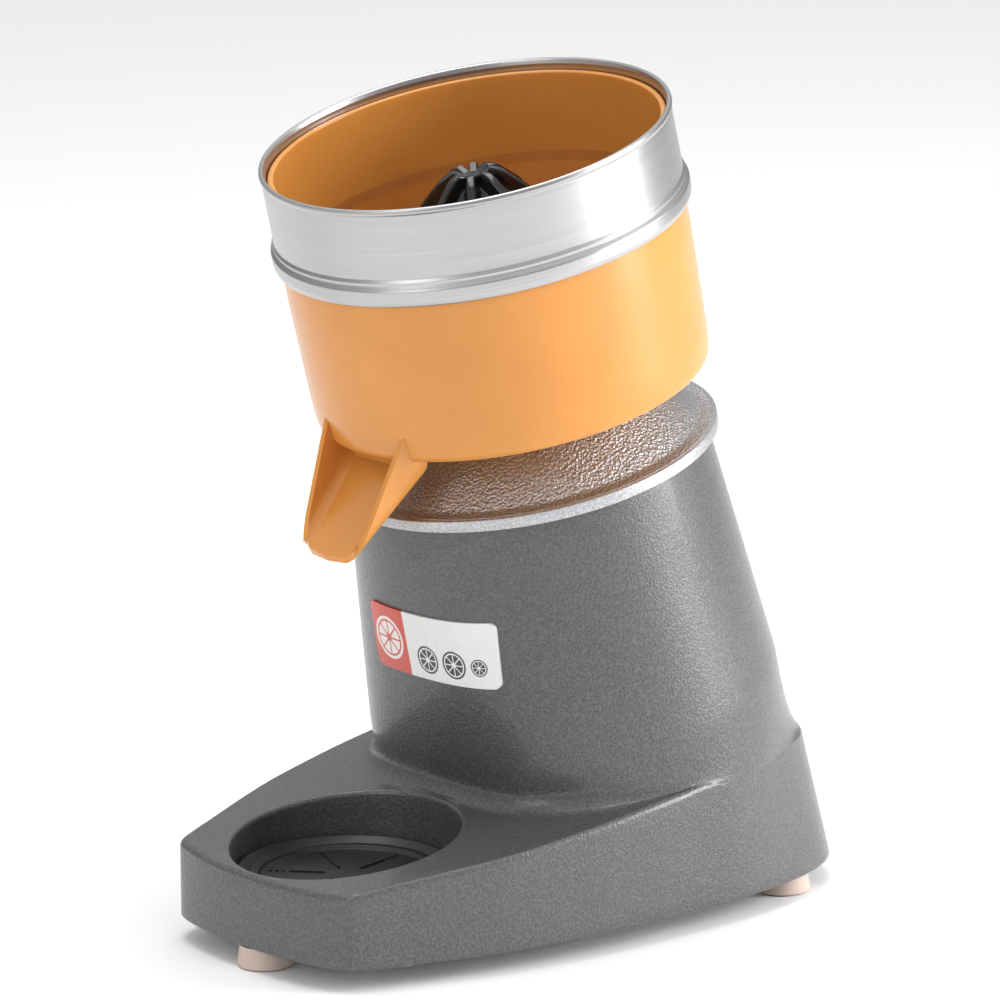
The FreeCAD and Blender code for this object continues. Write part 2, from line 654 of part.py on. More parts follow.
# ---------------------------------------------------------------------------
# every node
# ---------------------------------------------------------------------------
casting = make_body()

nodes = {
    "column_casting": lambda: casting.common(box(-120, 120, -200, 200, split_z, 260)),
    "base_front_casting": lambda: casting.common(box(-120, 120, -200, split_y, 0, split_z)),
    "base_rear_casting": lambda: casting.common(box(-120, 120, split_y, 200, 0, split_z)),
    "motor_flange": make_flange,
    "flange_screws": lambda: Part.makeCompound(
        [leaned(cap_screw(2.0, -21.5, -1, 4.2, 4.0, x, y)) for x, y in polar(64.0, 3, 45)]),
    "shaft_seal": lambda: leaned(tube(12.5, 7.6, nose_top - 7, nose_top - 0.5)),
    "bowl_wall": lambda: bowl_moulding("wall"),
    "bowl_floor": lambda: bowl_moulding("floor"),
    "pouring_spout": lambda: bowl_moulding("spout"),
    "splash_ring": make_ring,
    "strainer": make_strainer,
    "reamer": make_reamer,
    "drive_insert": make_drive_insert,
    "motor_shaft": make_shaft,
    "drive_pin": lambda: leaned(Part.makeCylinder(2.0, 21, V(0, -10.5, pin_h), V(0, 1, 0))),
    "rotor_core": make_rotor,
    "cooling_fan": make_fan,
    "stator_core": make_stator,
    "upper_winding": lambda: make_winding(stack_top, -19.0),
    "lower_winding": lambda: make_winding(-103.0, stack_low),
    "upper_bearing": lambda: bearing(17.5, shaft_r + 0.03, -14.9, -2.0),
    "lower_bearing": lambda: bearing(16.0, shaft_low_r + 0.03, end_shield_low + 2, -114),
    "end_shield": make_end_shield,
    "tie_bolts": make_tie_bolts,
    "name_plate": make_name_plate,
    "drip_tray": make_tray,
    "front_foot": lambda: make_foot("front_foot"),
    "rear_left_foot": lambda: make_foot("rear_left_foot"),
    "rear_right_foot": lambda: make_foot("rear_right_foot"),
    "foot_screws": make_foot_screws,
    "bottom_cover": make_cover,
    "cover_screws": make_cover_screws,
    "run_capacitor": make_capacitor,
    "capacitor_clip": make_clip,
    "terminal_block": make_terminal_block,
    "switch_housing": make_switch_housing,
    "switch_rocker": make_rocker,
    "cable_gland": make_gland,
    "gland_nut": make_gland_nut,
}

os.makedirs("parts", exist_ok=True)
whole = FreeCAD.BoundBox()
for name, make in nodes.items():
    shape = make()
    shape.exportStep("parts/%s.step" % name)
    whole.add(shape.BoundBox)
    print("%-18s solids %d  valid %s  volume %9.0f" % (name, len(shape.Solids), shape.isValid(), shape.Volume))
print("box x %.1f %.1f  y %.1f %.1f  z %.1f %.1f" % (whole.XMin, whole.XMax, whole.YMin, whole.YMax,
                                                  whole.ZMin, whole.ZMax))
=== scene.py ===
# %% [markdown]
# # A leaning citrus press
#
# The machine is a heavy cast body that leans a bowl towards the person using it. A motor hides in the
# column, an orange bowl with a pouring spout sits on an aluminium flange, a spun ring keeps the splashes
# in, and a ribbed black cone turns in the middle. The mechanical model is already packed as a fixed
# frame: we import it first, and then dress it piece by piece.
#
# Blender lets us import solids, sculpt by hand, or compute surfaces. We compute them, because every part
# here is either turned on a lathe or drawn out between a few known edges, and numbers repeat exactly.

# %% Open the fixed frame
import json
import bmesh
import bpy
import numpy as np
from mathutils import Matrix, Vector


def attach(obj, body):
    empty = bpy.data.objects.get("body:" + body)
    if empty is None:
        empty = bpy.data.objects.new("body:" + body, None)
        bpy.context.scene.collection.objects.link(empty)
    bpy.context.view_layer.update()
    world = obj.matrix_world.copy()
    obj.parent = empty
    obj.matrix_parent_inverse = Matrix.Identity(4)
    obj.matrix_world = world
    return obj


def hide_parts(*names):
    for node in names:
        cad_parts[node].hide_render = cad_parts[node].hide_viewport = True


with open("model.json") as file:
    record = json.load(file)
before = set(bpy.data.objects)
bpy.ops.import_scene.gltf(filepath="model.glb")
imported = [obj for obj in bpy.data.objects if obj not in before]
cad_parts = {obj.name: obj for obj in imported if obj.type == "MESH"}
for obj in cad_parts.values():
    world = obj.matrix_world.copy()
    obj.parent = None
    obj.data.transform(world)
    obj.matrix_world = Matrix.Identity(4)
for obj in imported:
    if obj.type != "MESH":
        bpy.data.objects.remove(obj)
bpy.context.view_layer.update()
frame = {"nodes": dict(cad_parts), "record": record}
nodes = frame["nodes"]

# %% [markdown]
# ## The leaning axis
#
# The column, flange, bowl, ring and reamer share one axis that leans 12.7 degrees forward. It is easiest
# to draw each of them upright, with its distance r from the axis and its height h along it, and to lean
# the finished points afterwards. We work in millimetres and turn to metres only when a mesh is made.

# %% Lean a set of points
LEAN = np.radians(12.72)
SEAT = np.array([0.0, 6.6, 191.0])
ALONG = np.array([0.0, -np.sin(LEAN), np.cos(LEAN)])
BACKWARD = np.array([0.0, np.cos(LEAN), np.sin(LEAN)])


def lean(points):
    """Upright (x, y, h) to the machine: the seat point, plus x sideways, y backward and h along the axis."""
    points = np.asarray(points, float)
    sideways = points[..., :1] * [1.0, 0.0, 0.0]
    return SEAT + sideways + points[..., 1:2] * BACKWARD + points[..., 2:] * ALONG


print("top of the axis at the ring", lean([0, 0, 143.7]).round(1))

# %% [markdown]
# ## From a grid of points to a piece
#
# A surface worked out as rows and columns of points only needs its faces listed. We list them with array
# arithmetic, close the first and last row with a centre point where the shape is closed, and let Blender
# turn all faces outwards. Smooth shading with sharp edges kept above an angle gives crisp machined edges.

# %% Make a mesh from rows of points
def show_smooth(piece, angle=32.0):
    """Shade a piece smoothly but keep edges sharper than the angle."""
    piece.data.polygons.foreach_set("use_smooth", np.ones(len(piece.data.polygons), bool))
    piece.data.set_sharp_from_angle(angle=np.radians(angle))
    piece.data.update()
    return piece


def face_outwards(piece):
    """Turn every face of a closed piece to point out of it."""
    work = bmesh.new()
    work.from_mesh(piece.data)
    bmesh.ops.recalc_face_normals(work, faces=work.faces)
    work.to_mesh(piece.data)
    work.free()
    return piece


def piece_from(name, vertices, faces):
    """A new piece in the scene: points are given in millimetres and stored in metres."""
    mesh = bpy.data.meshes.new(name)
    mesh.from_pydata((np.asarray(vertices) * 0.001).tolist(), [], faces)
    piece = bpy.data.objects.new(name, mesh)
    bpy.context.collection.objects.link(piece)
    return piece


def grid_cells(rows, cols, ring=False):
    """Corner numbers of every cell: columns always join up, rows only when ring is set."""
    row = np.arange(rows if ring else rows - 1)[:, None]
    col = np.arange(cols)[None, :]
    after_row, after_col = (row + 1) % rows, (col + 1) % cols
    corners = [row * cols + col, row * cols + after_col, after_row * cols + after_col, after_row * cols + col]
    return np.stack(corners, -1).reshape(-1, 4).tolist()


def woven(name, grid, ring=False, angle=32.0):
    """Closed skin over a grid (rows, columns, 3) whose columns run round and join up.

    The first and last row are each fanned to their middle point; ring joins the last row to the
    first instead, as for a turned outline that comes back to its start.
    """
    rows, cols = grid.shape[:2]
    vertices, faces = grid.reshape(-1, 3), grid_cells(rows, cols, ring)
    around = np.arange(cols)
    for first in () if ring else (0, (rows - 1) * cols):
        middle = len(vertices)
        vertices = np.vstack([vertices, vertices[first:first + cols].mean(0)])
        fan = np.stack([first + around, first + (around + 1) % cols, np.full(cols, middle)], -1)
        faces += fan.tolist()
    return show_smooth(face_outwards(piece_from(name, vertices, faces)), angle)


print("cells in a tube of 3 rows and 8 columns", len(grid_cells(3, 8)))

# %% [markdown]
# ## Rounding corners and turning outlines
#
# Turned parts are an outline spun round the axis. Castings and mouldings never have razor corners, so
# every corner of an outline carries its own radius. The arc replaces the corner, and long straight runs
# get extra points so that the shading stays true right up to the arc.

# %% Round an outline and spin it
def rounded(corners, steps=6, longest=2.5, closed=True):
    """Outline through (a, b, radius) corners, each replaced by its tangent arc, straight runs divided.

    An arc's centre lies on the bisector, radius / sin(half angle) from the corner; its points swing
    from one tangent point to the other.
    """
    corners = np.array([tuple(c) + (0.0,) * (3 - len(c)) for c in corners], float)
    here, radius = corners[:, :2], np.maximum(corners[:, 2], 1e-6)
    back = np.roll(here, 1, 0) - here
    ahead = np.roll(here, -1, 0) - here
    if not closed:
        back[0], ahead[-1] = -ahead[0], -back[-1]
        radius[[0, -1]] = 1e-6
    back /= np.linalg.norm(back, axis=1, keepdims=True)
    ahead /= np.linalg.norm(ahead, axis=1, keepdims=True)
    half = np.arccos(np.clip((back * ahead).sum(1), -1, 1)) / 2
    straight = half > np.radians(89.7)
    radius[straight] = 1e-6
    middle = back + ahead
    middle /= np.maximum(np.linalg.norm(middle, axis=1, keepdims=True), 1e-9)
    reach = (radius / np.tan(np.minimum(half, 1.5705)))[:, None]
    centre = here + middle * (radius / np.sin(half))[:, None]
    first, last = here + back * reach - centre, here + ahead * reach - centre
    sweep = (np.pi - 2 * half)[:, None, None]
    t = np.linspace(0, 1, steps + 1)[None, :, None]
    turn = np.maximum(np.sin(sweep), 1e-9)
    arc = (np.sin((1 - t) * sweep) * first[:, None] + np.sin(t * sweep) * last[:, None]) / turn
    arc[straight] = first[straight][:, None]
    path = (centre[:, None] + arc).reshape(-1, 2)
    keep = np.linalg.norm(path - np.roll(path, 1, 0), axis=1) > 1e-3
    path = path[keep]
    following = np.roll(path, -1, 0)
    gaps = np.linalg.norm(following - path, axis=1)
    parts = np.maximum(np.ceil(gaps / longest).astype(int), 1)
    if not closed:
        parts[-1] = 1
    index = np.repeat(np.arange(len(path)), parts)
    share = (np.arange(len(index)) - np.repeat(np.cumsum(parts) - parts, parts)) / parts[index]
    return path[index] + (following - path)[index] * share[:, None]


def spin(outline, columns=288):
    """Grid of a (radius, height) outline turned round: x = r sin, y = -r cos, leaned with the machine."""
    turn = np.linspace(0, 2 * np.pi, columns, endpoint=False)
    r, h = outline[:, :1], outline[:, 1:]
    heights = np.broadcast_to(h, (len(r), columns))
    return lean(np.stack([r * np.sin(turn), -r * np.cos(turn), heights], -1))


def turned(name, corners, columns=288):
    """Closed turned part whose outline doesn't touch the axis."""
    return woven(name, spin(rounded(corners), columns), ring=True)


square = rounded([(0, 0, 2), (10, 0, 2), (10, 10, 2), (0, 10, 2)])
print("points round a 10 mm square with 2 mm corners", len(square))


# %% [markdown]
# ## Shader sums as Python
#
# A material is a network of small sums. Written by hand that is pages of links, so one little class
# wraps a socket and lets Python's own signs add the Math nodes. Everything else goes through one method.

# %% A socket that does arithmetic
class Wire:
    """An output socket; Python's operators on it add Math nodes to its network."""

    def __init__(self, network, socket):
        self.network, self.socket = network, socket

    def sum(self, operation, *values):
        return self.network.add("ShaderNodeMath", {"operation": operation}, dict(enumerate(values)))

    def __add__(self, other): return self.sum("ADD", self, other)
    def __radd__(self, other): return self.sum("ADD", other, self)
    def __sub__(self, other): return self.sum("SUBTRACT", self, other)
    def __rsub__(self, other): return self.sum("SUBTRACT", other, self)
    def __mul__(self, other): return self.sum("MULTIPLY", self, other)
    def __rmul__(self, other): return self.sum("MULTIPLY", other, self)
    def __pow__(self, other): return self.sum("POWER", self, other)
    def __gt__(self, other): return self.sum("GREATER_THAN", self, other)
    def __lt__(self, other): return self.sum("LESS_THAN", self, other)
    def absolute(self): return self.sum("ABSOLUTE", self)
    def sine(self): return self.sum("SINE", self)


class Network:
    """A node tree and the one method that adds nodes to it."""

    def __init__(self, tree):
        self.tree = tree

    def add(self, kind, settings, values, out=0):
        """Add any node: its settings, then a number, colour or wire for each socket."""
        node = self.tree.nodes.new(kind)
        for key, value in settings.items():
            setattr(node, key, value)
        for socket, value in values.items():
            if isinstance(value, Wire):
                self.tree.links.new(value.socket, node.inputs[socket])
            else:
                node.inputs[socket].default_value = value
        return Wire(self, node.outputs[out])

    def split(self, vector):
        """The three numbers of a vector."""
        node = self.add("ShaderNodeSeparateXYZ", {}, {0: vector}).socket.node
        return [Wire(self, node.outputs[k]) for k in range(3)]

    def spread(self, wire, low, high, to_low=0.0, to_high=1.0):
        """Stretch a value from one range to another, clamped."""
        return self.add("ShaderNodeMapRange", {"clamp": True}, {
            "Value": wire, "From Min": low, "From Max": high, "To Min": to_low, "To Max": to_high})


finishes = {}


class Finish(Network):
    """One material: a Principled shader, its object coordinates, and the patterns it is mixed from."""

    def __init__(self, name, **constants):
        self.material = bpy.data.materials.new(name)
        self.material.use_nodes = True
        super().__init__(self.material.node_tree)
        self.tree.nodes.clear()
        output = self.tree.nodes.new("ShaderNodeOutputMaterial")
        self.shader = self.tree.nodes.new("ShaderNodeBsdfPrincipled")
        self.tree.links.new(self.shader.outputs[0], output.inputs[0])
        for socket, value in constants.items():
            self.shader.inputs[socket.replace("_", " ")].default_value = value
        self.place = self.add("ShaderNodeTexCoord", {}, {}, "Object")
        finishes[name] = self.material

    def feed(self, socket, wire):
        self.tree.links.new(wire.socket, self.shader.inputs[socket])

    def noise(self, scale, detail=3.0, rough=0.55, at=None):
        return self.add("ShaderNodeTexNoise", {}, {
            "Vector": at or self.place, "Scale": scale, "Detail": detail, "Roughness": rough}, "Fac")

    def cells(self, scale, feature="F1"):
        return self.add("ShaderNodeTexVoronoi", {"feature": feature},
                        {"Vector": self.place, "Scale": scale}, "Distance")

    def vector(self, x, y, z):
        return self.add("ShaderNodeCombineXYZ", {}, {0: x, 1: y, 2: z})

    def blend(self, amount, first, second):
        """Mix two colours by a value."""
        return self.add("ShaderNodeMix", {"data_type": "RGBA"}, {0: amount, 6: first, 7: second}, 2)

    def dent(self, height, distance, strength=1.0):
        """Raise and sink the surface by a pattern, no further than the distance in metres."""
        self.feed("Normal", self.add("ShaderNodeBump", {}, {
            "Height": height, "Distance": distance, "Strength": strength}))

    def upright(self):
        """Coordinates measured from the seat along the leaning axis, for turned parts."""
        return self.add("ShaderNodeMapping", {"vector_type": "TEXTURE"}, {
            "Vector": self.place, "Location": tuple(SEAT * 0.001), "Rotation": (float(LEAN), 0.0, 0.0)})


print("shader tools ready")

# %% [markdown]
# ## Hammered paint
#
# The casting is sprayed with a stoving enamel that crawls into small dimples while it dries and leaves
# dark specks between bright leafing pigment. A painted-on picture would tile, so we build it from two noises:
# a fine one decides the specks and the dimples, a broad one makes the tone drift a little.

# %% Hammered grey enamel
paint = Finish("hammertone_paint", Metallic=0.25, Coat_Weight=0.35, Coat_Roughness=0.12,
               Specular_IOR_Level=0.5)
speck = paint.noise(1500.0, 2.0, 0.6)
pebble = paint.cells(1050.0, "SMOOTH_F1")
drift = paint.noise(14.0, 2.0)
grain = paint.spread(speck * 0.6 + pebble * 0.55, 0.36, 0.72)
tone = paint.blend(grain, (0.058, 0.055, 0.052, 1), (0.118, 0.124, 0.134, 1))
tone = paint.blend(paint.spread(drift, 0.3, 0.7, 0.0, 0.22), tone, (0.115, 0.118, 0.115, 1))
paint.feed("Base Color", tone)
paint.feed("Roughness", paint.spread(speck, 0.3, 0.7, 0.44, 0.30))
paint.dent(grain * 0.7 + pebble * 0.5, 0.00016, 0.7)
print("paint nodes", len(paint.tree.nodes))

# %% [markdown]
# ## Bare aluminium, cast and spun
#
# The flange is sand-cast and only its edge is turned, so its cone glitters with grain while the edge
# carries fine lathe lines. The splash ring is spun from sheet and has a soft satin all round. Both read
# the leaning coordinates, so the tool marks run round the true axis.

# %% Cast and turned aluminium
cast = Finish("cast_aluminium", Metallic=1.0, Specular_IOR_Level=0.5)
cx, cy, ch = cast.split(cast.upright())
radius = (cx * cx + cy * cy) ** 0.5
CONE_ENDS, EDGE_STARTS = 0.0788, 0.0796    # distance from the axis, in metres
turned_part = cast.spread(radius, CONE_ENDS, EDGE_STARTS)
grit = cast.noise(1200.0, 3.0, 0.7)
lumps = cast.cells(760.0)
lines = cast.noise(1.0, 2.0, 0.6, cast.vector(radius * 3000.0, ch * 3000.0, cx * 12.0))
rough_height = grit * 0.7 + lumps * 0.9
cast_tone = cast.blend(cast.spread(grit, 0.3, 0.7), (0.30, 0.30, 0.31, 1), (0.66, 0.67, 0.69, 1))
cast.feed("Base Color", cast_tone)
cast.feed("Roughness", cast.spread(turned_part, 0, 1, 0.36, 0.40) + (grit - 0.5) * 0.2)
cast.dent(rough_height * (1 - turned_part) + lines * turned_part * 0.25, 0.0006, 0.9)

satin = Finish("spun_aluminium", Metallic=1.0)
sx, sy, sh = satin.split(satin.upright())
sweep = satin.noise(1.0, 3.0, 0.6, satin.vector(sx * 9.0, sy * 9.0, sh * 2600.0))
cloud = satin.noise(22.0, 3.0)
satin_tone = satin.blend(satin.spread(sweep, 0.3, 0.7), (0.44, 0.435, 0.435, 1), (0.52, 0.515, 0.52, 1))
satin.feed("Base Color", satin_tone)
satin.feed("Roughness", 0.31 + (cloud - 0.5) * 0.10 + (sweep - 0.5) * 0.06)
satin.dent(sweep, 0.00003, 0.35)
print("aluminium nodes", len(cast.tree.nodes), "and", len(satin.tree.nodes))

# %% [markdown]
# ## Mouldings
#
# The bowl is one glossy orange moulding. Thick polypropylene lets a little light in, which a touch of
# subsurface gives. Its gloss is not perfect: the tool leaves a faint ripple, and washing leaves haze.

# %% Orange, black and pale plastics
orange = Finish("orange_plastic", IOR=1.49, Subsurface_Weight=0.12, Subsurface_Scale=1.0,
                Subsurface_Radius=(0.006, 0.003, 0.001))
ripple = orange.noise(30.0, 2.0)
haze = orange.noise(240.0, 3.0)
orange_tone = orange.blend(orange.spread(ripple, 0.3, 0.7), (0.66, 0.270, 0.055, 1), (0.70, 0.295, 0.062, 1))
orange.feed("Base Color", orange_tone)
orange.feed("Roughness", 0.23 + (haze - 0.5) * 0.10 + (ripple - 0.5) * 0.06)
orange.dent(ripple + haze * 0.06, 0.0004, 0.12)


def moulding(name, light, dark, rough, depth, **constants):
    """Plain moulded plastic or rubber: a fine grain that shifts tone, gloss and height together."""
    finish = Finish(name, **constants)
    fine, broad = finish.noise(1400.0, 2.0), finish.noise(60.0, 2.0)
    finish.feed("Base Color", finish.blend(finish.spread(broad * 0.5 + fine * 0.5, 0.35, 0.65), dark, light))
    finish.feed("Roughness", rough + (fine - 0.5) * 0.12 + (broad - 0.5) * 0.08)
    finish.dent(fine, depth, 0.5)


moulding("black_gloss_plastic", (0.012, 0.012, 0.013, 1), (0.007, 0.007, 0.008, 1), 0.12, 0.00001)
moulding("black_matte_plastic", (0.020, 0.019, 0.020, 1), (0.011, 0.011, 0.012, 1), 0.38, 0.00006)
moulding("beige_rubber", (0.62, 0.50, 0.43, 1), (0.54, 0.43, 0.37, 1), 0.62, 0.00005)
moulding("nitrile_rubber", (0.022, 0.022, 0.022, 1), (0.012, 0.012, 0.012, 1), 0.6, 0.00005)
moulding("white_plastic", (0.72, 0.71, 0.67, 1), (0.64, 0.63, 0.60, 1), 0.42, 0.00004)
print("finishes so far", len(finishes))

# %% [markdown]
# ## Steel, brass, copper
#
# Hidden metal still has to look right when the bowl is off. Each gets fine scratches, a drifting
# roughness and its own tint, and the windings get the round ribs of wound wire.

# %% Small metals
def metal(name, light, dark, rough, scratch=0.00004):
    """Bare metal: fine hairs drawn out across z, a drifting gloss, and two tints between them."""
    finish = Finish(name, Metallic=1.0)
    x, y, z = finish.split(finish.place)
    hair = finish.noise(1.0, 3.0, 0.6, finish.vector(x * 60.0, y * 60.0, z * 2400.0))
    broad = finish.noise(45.0, 2.0)
    finish.feed("Base Color", finish.blend(finish.spread(hair * 0.6 + broad * 0.4, 0.35, 0.65), dark, light))
    finish.feed("Roughness", rough + (hair - 0.5) * 0.14 + (broad - 0.5) * 0.1)
    finish.dent(hair, scratch, 0.5)


metal("stainless_steel", (0.66, 0.66, 0.67, 1), (0.52, 0.52, 0.53, 1), 0.27)
metal("ground_steel", (0.62, 0.62, 0.63, 1), (0.48, 0.48, 0.49, 1), 0.22)
metal("zinc_steel", (0.66, 0.66, 0.62, 1), (0.50, 0.50, 0.48, 1), 0.32)
metal("lamination_steel", (0.20, 0.20, 0.21, 1), (0.12, 0.12, 0.13, 1), 0.42, 0.00008)
metal("galvanised_sheet", (0.58, 0.59, 0.60, 1), (0.44, 0.45, 0.46, 1), 0.42)
metal("capacitor_can", (0.70, 0.70, 0.70, 1), (0.58, 0.58, 0.58, 1), 0.30)
metal("brass", (0.80, 0.58, 0.24, 1), (0.62, 0.43, 0.16, 1), 0.28)
metal("copper_winding", (0.62, 0.26, 0.11, 1), (0.36, 0.13, 0.05, 1), 0.34, 0.0002)
print("finishes so far", len(finishes))

# %% [markdown]
# ## The plate on the column
#
# A small enamelled plate breaks up the grey. It carries nothing but a warm panel with one large citrus
# slice, and three smaller slices beside it. They could be cut as thin shapes, but print has no height,
# so the material draws them: a slice is a rim and wedges between spokes, from distance and angle alone.

# %% Plate enamel
plate = Finish("plate_enamel", Coat_Weight=0.3, Coat_Roughness=0.1)
px, _, ph = plate.split(plate.upright())


def slice_mark(x0, h0, r, segments=8):
    """Mask of one citrus slice: rim between two circles, and wedges between spokes inside it."""
    dx, dh = px - x0, ph - h0
    reach = (dx * dx + dh * dh) ** 0.5
    angle = plate.add("ShaderNodeMath", {"operation": "ARCTAN2"}, {0: dh, 1: dx})
    wedge = (angle * (segments / 2)).sine().absolute() * reach > r * 0.16
    rim = (reach < r) * (reach > r * 0.86)
    flesh = wedge * (reach < r * 0.76) * (reach > r * 0.12)
    return plate.add("ShaderNodeMath", {"operation": "MAXIMUM"}, {0: rim, 1: flesh})


PANEL_EDGE, LARGE_H, SMALL_H = -0.0035, -0.0549, -0.0601
panel = px < PANEL_EDGE
big = slice_mark(-0.0155, LARGE_H, 0.0095)
small = (slice_mark(0.0085, SMALL_H, 0.0062) + slice_mark(0.0235, SMALL_H, 0.0062)
         + slice_mark(0.0360, SMALL_H, 0.0038))
field = plate.blend(panel, (0.80, 0.80, 0.79, 1), (0.62, 0.055, 0.025, 1))
field = plate.blend(big, field, (0.82, 0.80, 0.76, 1))
field = plate.blend(small, field, (0.035, 0.035, 0.038, 1))
plate.feed("Base Color", field)
scuff = plate.noise(300.0, 3.0)
plate.feed("Roughness", 0.28 + (scuff - 0.5) * 0.12)
plate.dent(scuff, 0.00002, 0.3)
print("plate nodes", len(plate.tree.nodes))

# %% [markdown]
# ## Dressing the frame
#
# Most of the hidden parts already have their true shape, so they only need a finish in their slot. The
# parts drawn again below get the body that carries them, and the mechanical parts they stand for are hidden.

# %% Finishes for the mechanical parts
for sub in frame["record"]["subparts"]:
    nodes[sub["node"]].data.materials.clear()
    nodes[sub["node"]].data.materials.append(finishes[sub["material_slot"]])
print("finishes", len(finishes))


def dress(piece, body, slot, *stands_for):
    """Give a new piece its finish and its body, and hide the mechanical nodes it stands for."""
    piece.data.materials.append(finishes[slot])
    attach(piece, body)
    if stands_for:
        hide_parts(*stands_for)
    print(piece.name, "faces", len(piece.data.polygons))
    return piece


# %% [markdown]
# ## The body: one skin from the column's top to the base's lower edge
#
# The casting is a hollow boot: a leaning column growing out of a long base. It could be carved from
# boxes and smoothed, but every path from the column's rim, down its wall, across the deck and over the
# edge of the base looks alike, so we compute one path for each direction and weave them into a skin.
# Where the wall meets the deck there is a soft fillet; towards the rear, where the deck narrows to
# nothing, it grows into one hollow flare, the curve (1-t)^2 A + 2t(1-t) B + t^2 C drawn towards B, and
# the rim dips a little so that the flare can run out over it.

# %% The base outline and the deck
FRONT_Y, REAR_Y, HALF_WIDTH, SOLE_Z = -148.6, 136.0, 88.6, 9.0
front_corner = np.array([57.0, -140.3])
side_line = np.array([
    front_corner, (60.5, -129.8), (64.9, -117.0), (69.5, -104.0), (73.6, -92.0), (79.2, -73.0),
    (83.5, -50.0), (86.6, -27.0), (88.2, -2.0), (HALF_WIDTH, 24.0), (88.0, 50.0), (84.6, 76.0),
    (77.6, 100.0), (66.5, 117.0), (50.0, 127.8), (26.0, 134.4), (0.0, REAR_Y)])
ROUND = 860          # points round the skin


def eased(points, per=24):
    """Smooth line through points: each run is the cubic whose end slopes are half the step between the
    neighbours on either side. The last point lies on the middle line, so its next one is a mirror image.
    """
    p = np.vstack([2 * points[0] - points[1], points, points[-2] * [-1, 1]])
    p0, p1, p2, p3 = (p[k:len(p) - 3 + k, None] for k in range(4))
    t = np.linspace(0, 1, per, endpoint=False)[None, :, None]
    curve = 0.5 * (2 * p1 + (p2 - p0) * t + (2 * p0 - 5 * p1 + 4 * p2 - p3) * t**2
                   + (3 * p1 - p0 - 3 * p2 + p3) * t**3)
    return np.vstack([curve.reshape(-1, 2), points[-1:]])


bow_x = np.linspace(0, front_corner[0], 60, endpoint=False)
bow_y = FRONT_Y + (front_corner[1] - FRONT_Y) * (bow_x / front_corner[0]) ** 2.3
bow = np.stack([bow_x, bow_y], -1)
half_loop = np.vstack([bow, eased(side_line)])
whole_loop = np.vstack([half_loop, half_loop[-2:0:-1] * [-1, 1]])
closed_loop = np.vstack([whole_loop, whole_loop[:1]])
walked = np.r_[0.0, np.cumsum(np.linalg.norm(np.diff(closed_loop, axis=0), axis=1))]
even = np.linspace(0, walked[-1], ROUND, endpoint=False)
sharp_loop = np.stack([np.interp(even, walked, closed_loop[:, k]) for k in (0, 1)], -1)


def rub_down(loop, width):
    """Round a closed line's corners by a running average, bell shaped, of the given width in mm."""
    away = np.minimum(even, walked[-1] - even)
    bell = np.exp(-0.5 * (away / width) ** 2)
    spectrum = np.fft.rfft(bell / bell.sum())
    return np.stack([np.fft.irfft(np.fft.rfft(loop[:, k]) * spectrum, ROUND) for k in (0, 1)], -1)


crisp_loop, soft_loop = rub_down(sharp_loop, 2.2), rub_down(sharp_loop, 7.5)
FRONT_DRAFT, REAR_DRAFT, SIDE_DRAFT, REAR_SIDE_DRAFT = 0.09, 0.20, 0.012, 0.18    # mm inwards per mm up


def base_edge(z, inset=0.0):
    """Plan outline of the base at height z: crisp corners at the deck, soft ones below, ends drafted."""
    z = np.broadcast_to(z, (ROUND,))
    soft = np.clip((40 - z) / 30, 0, 1)[:, None]
    loop = crisp_loop * (1 - soft) + soft_loop * soft
    up, share = z - SOLE_Z, (loop[:, 1] - FRONT_Y) / (REAR_Y - FRONT_Y)
    y = loop[:, 1] + (1 - share) * (FRONT_DRAFT * up + inset) - share * (REAR_DRAFT * up + inset)
    rear = np.clip((loop[:, 1] - 40) / 70, 0, 1)
    narrowing = SIDE_DRAFT * up + inset + REAR_SIDE_DRAFT * up * rear**2 * (3 - 2 * rear)
    return np.stack([loop[:, 0] * (1 - narrowing / HALF_WIDTH), y, z], -1)


deck_y = np.array([-165.0, -137.0, -95.0, -26.0, 22.0, 60.0, 100.0, 150.0])
deck_z = np.array([36.2, 40.6, 46.8, 55.8, 61.5, 68.0, 68.8, 69.6])
deck_curve = np.polyfit(deck_y / 100, deck_z, 5)


def deck(y):
    """Height of the base's top face along the machine: one gentle polynomial close to its levels."""
    return np.polyval(deck_curve, np.asarray(y) / 100)


print("deck misfit in mm", np.abs(deck(deck_y) - deck_z).max().round(2))

# %% [markdown]
# ### The column wall and where it lands
#
# The column is a cone about the leaning axis with its front planed flatter. We could cut a flat on a cone,
# which leaves an edge; a power mean of the two radii passes from one to the other without one. Each of
# its lines is then slid down until it meets the deck, and the base's rim is lifted to the deck too.

# %% The column wall, its foot and the rim
SEAT_R, DRAFT, WIDEST_R = 76.0, 0.103, 87.0        # the cone
FLAT_R, FLAT_DRAFT, BLEND = 81.0, 0.031, 16.0      # the flattened front, and how sharply the two meet
COLUMN_Y, REAR_DIP = 36.0, 6.0                     # middle of the column at the deck; dip of the rear rim


def column_r(turn, h):
    """Radius at an angle from the front: (cone^-16 + front^-16)^(-1/16), the cone alone behind."""
    cone = np.minimum(SEAT_R - DRAFT * h, WIDEST_R)
    flat = FLAT_R + FLAT_DRAFT * h
    ahead = np.maximum(np.cos(turn), 0.05)
    mixed = (cone ** -BLEND + (flat / ahead) ** -BLEND) ** (-1 / BLEND)
    return np.where(np.cos(turn) > 0.05, mixed, cone)


def column_wall(turn, h):
    r = column_r(turn, h)
    return lean(np.stack([r * np.sin(turn), -r * np.cos(turn), h + 0 * r], -1))


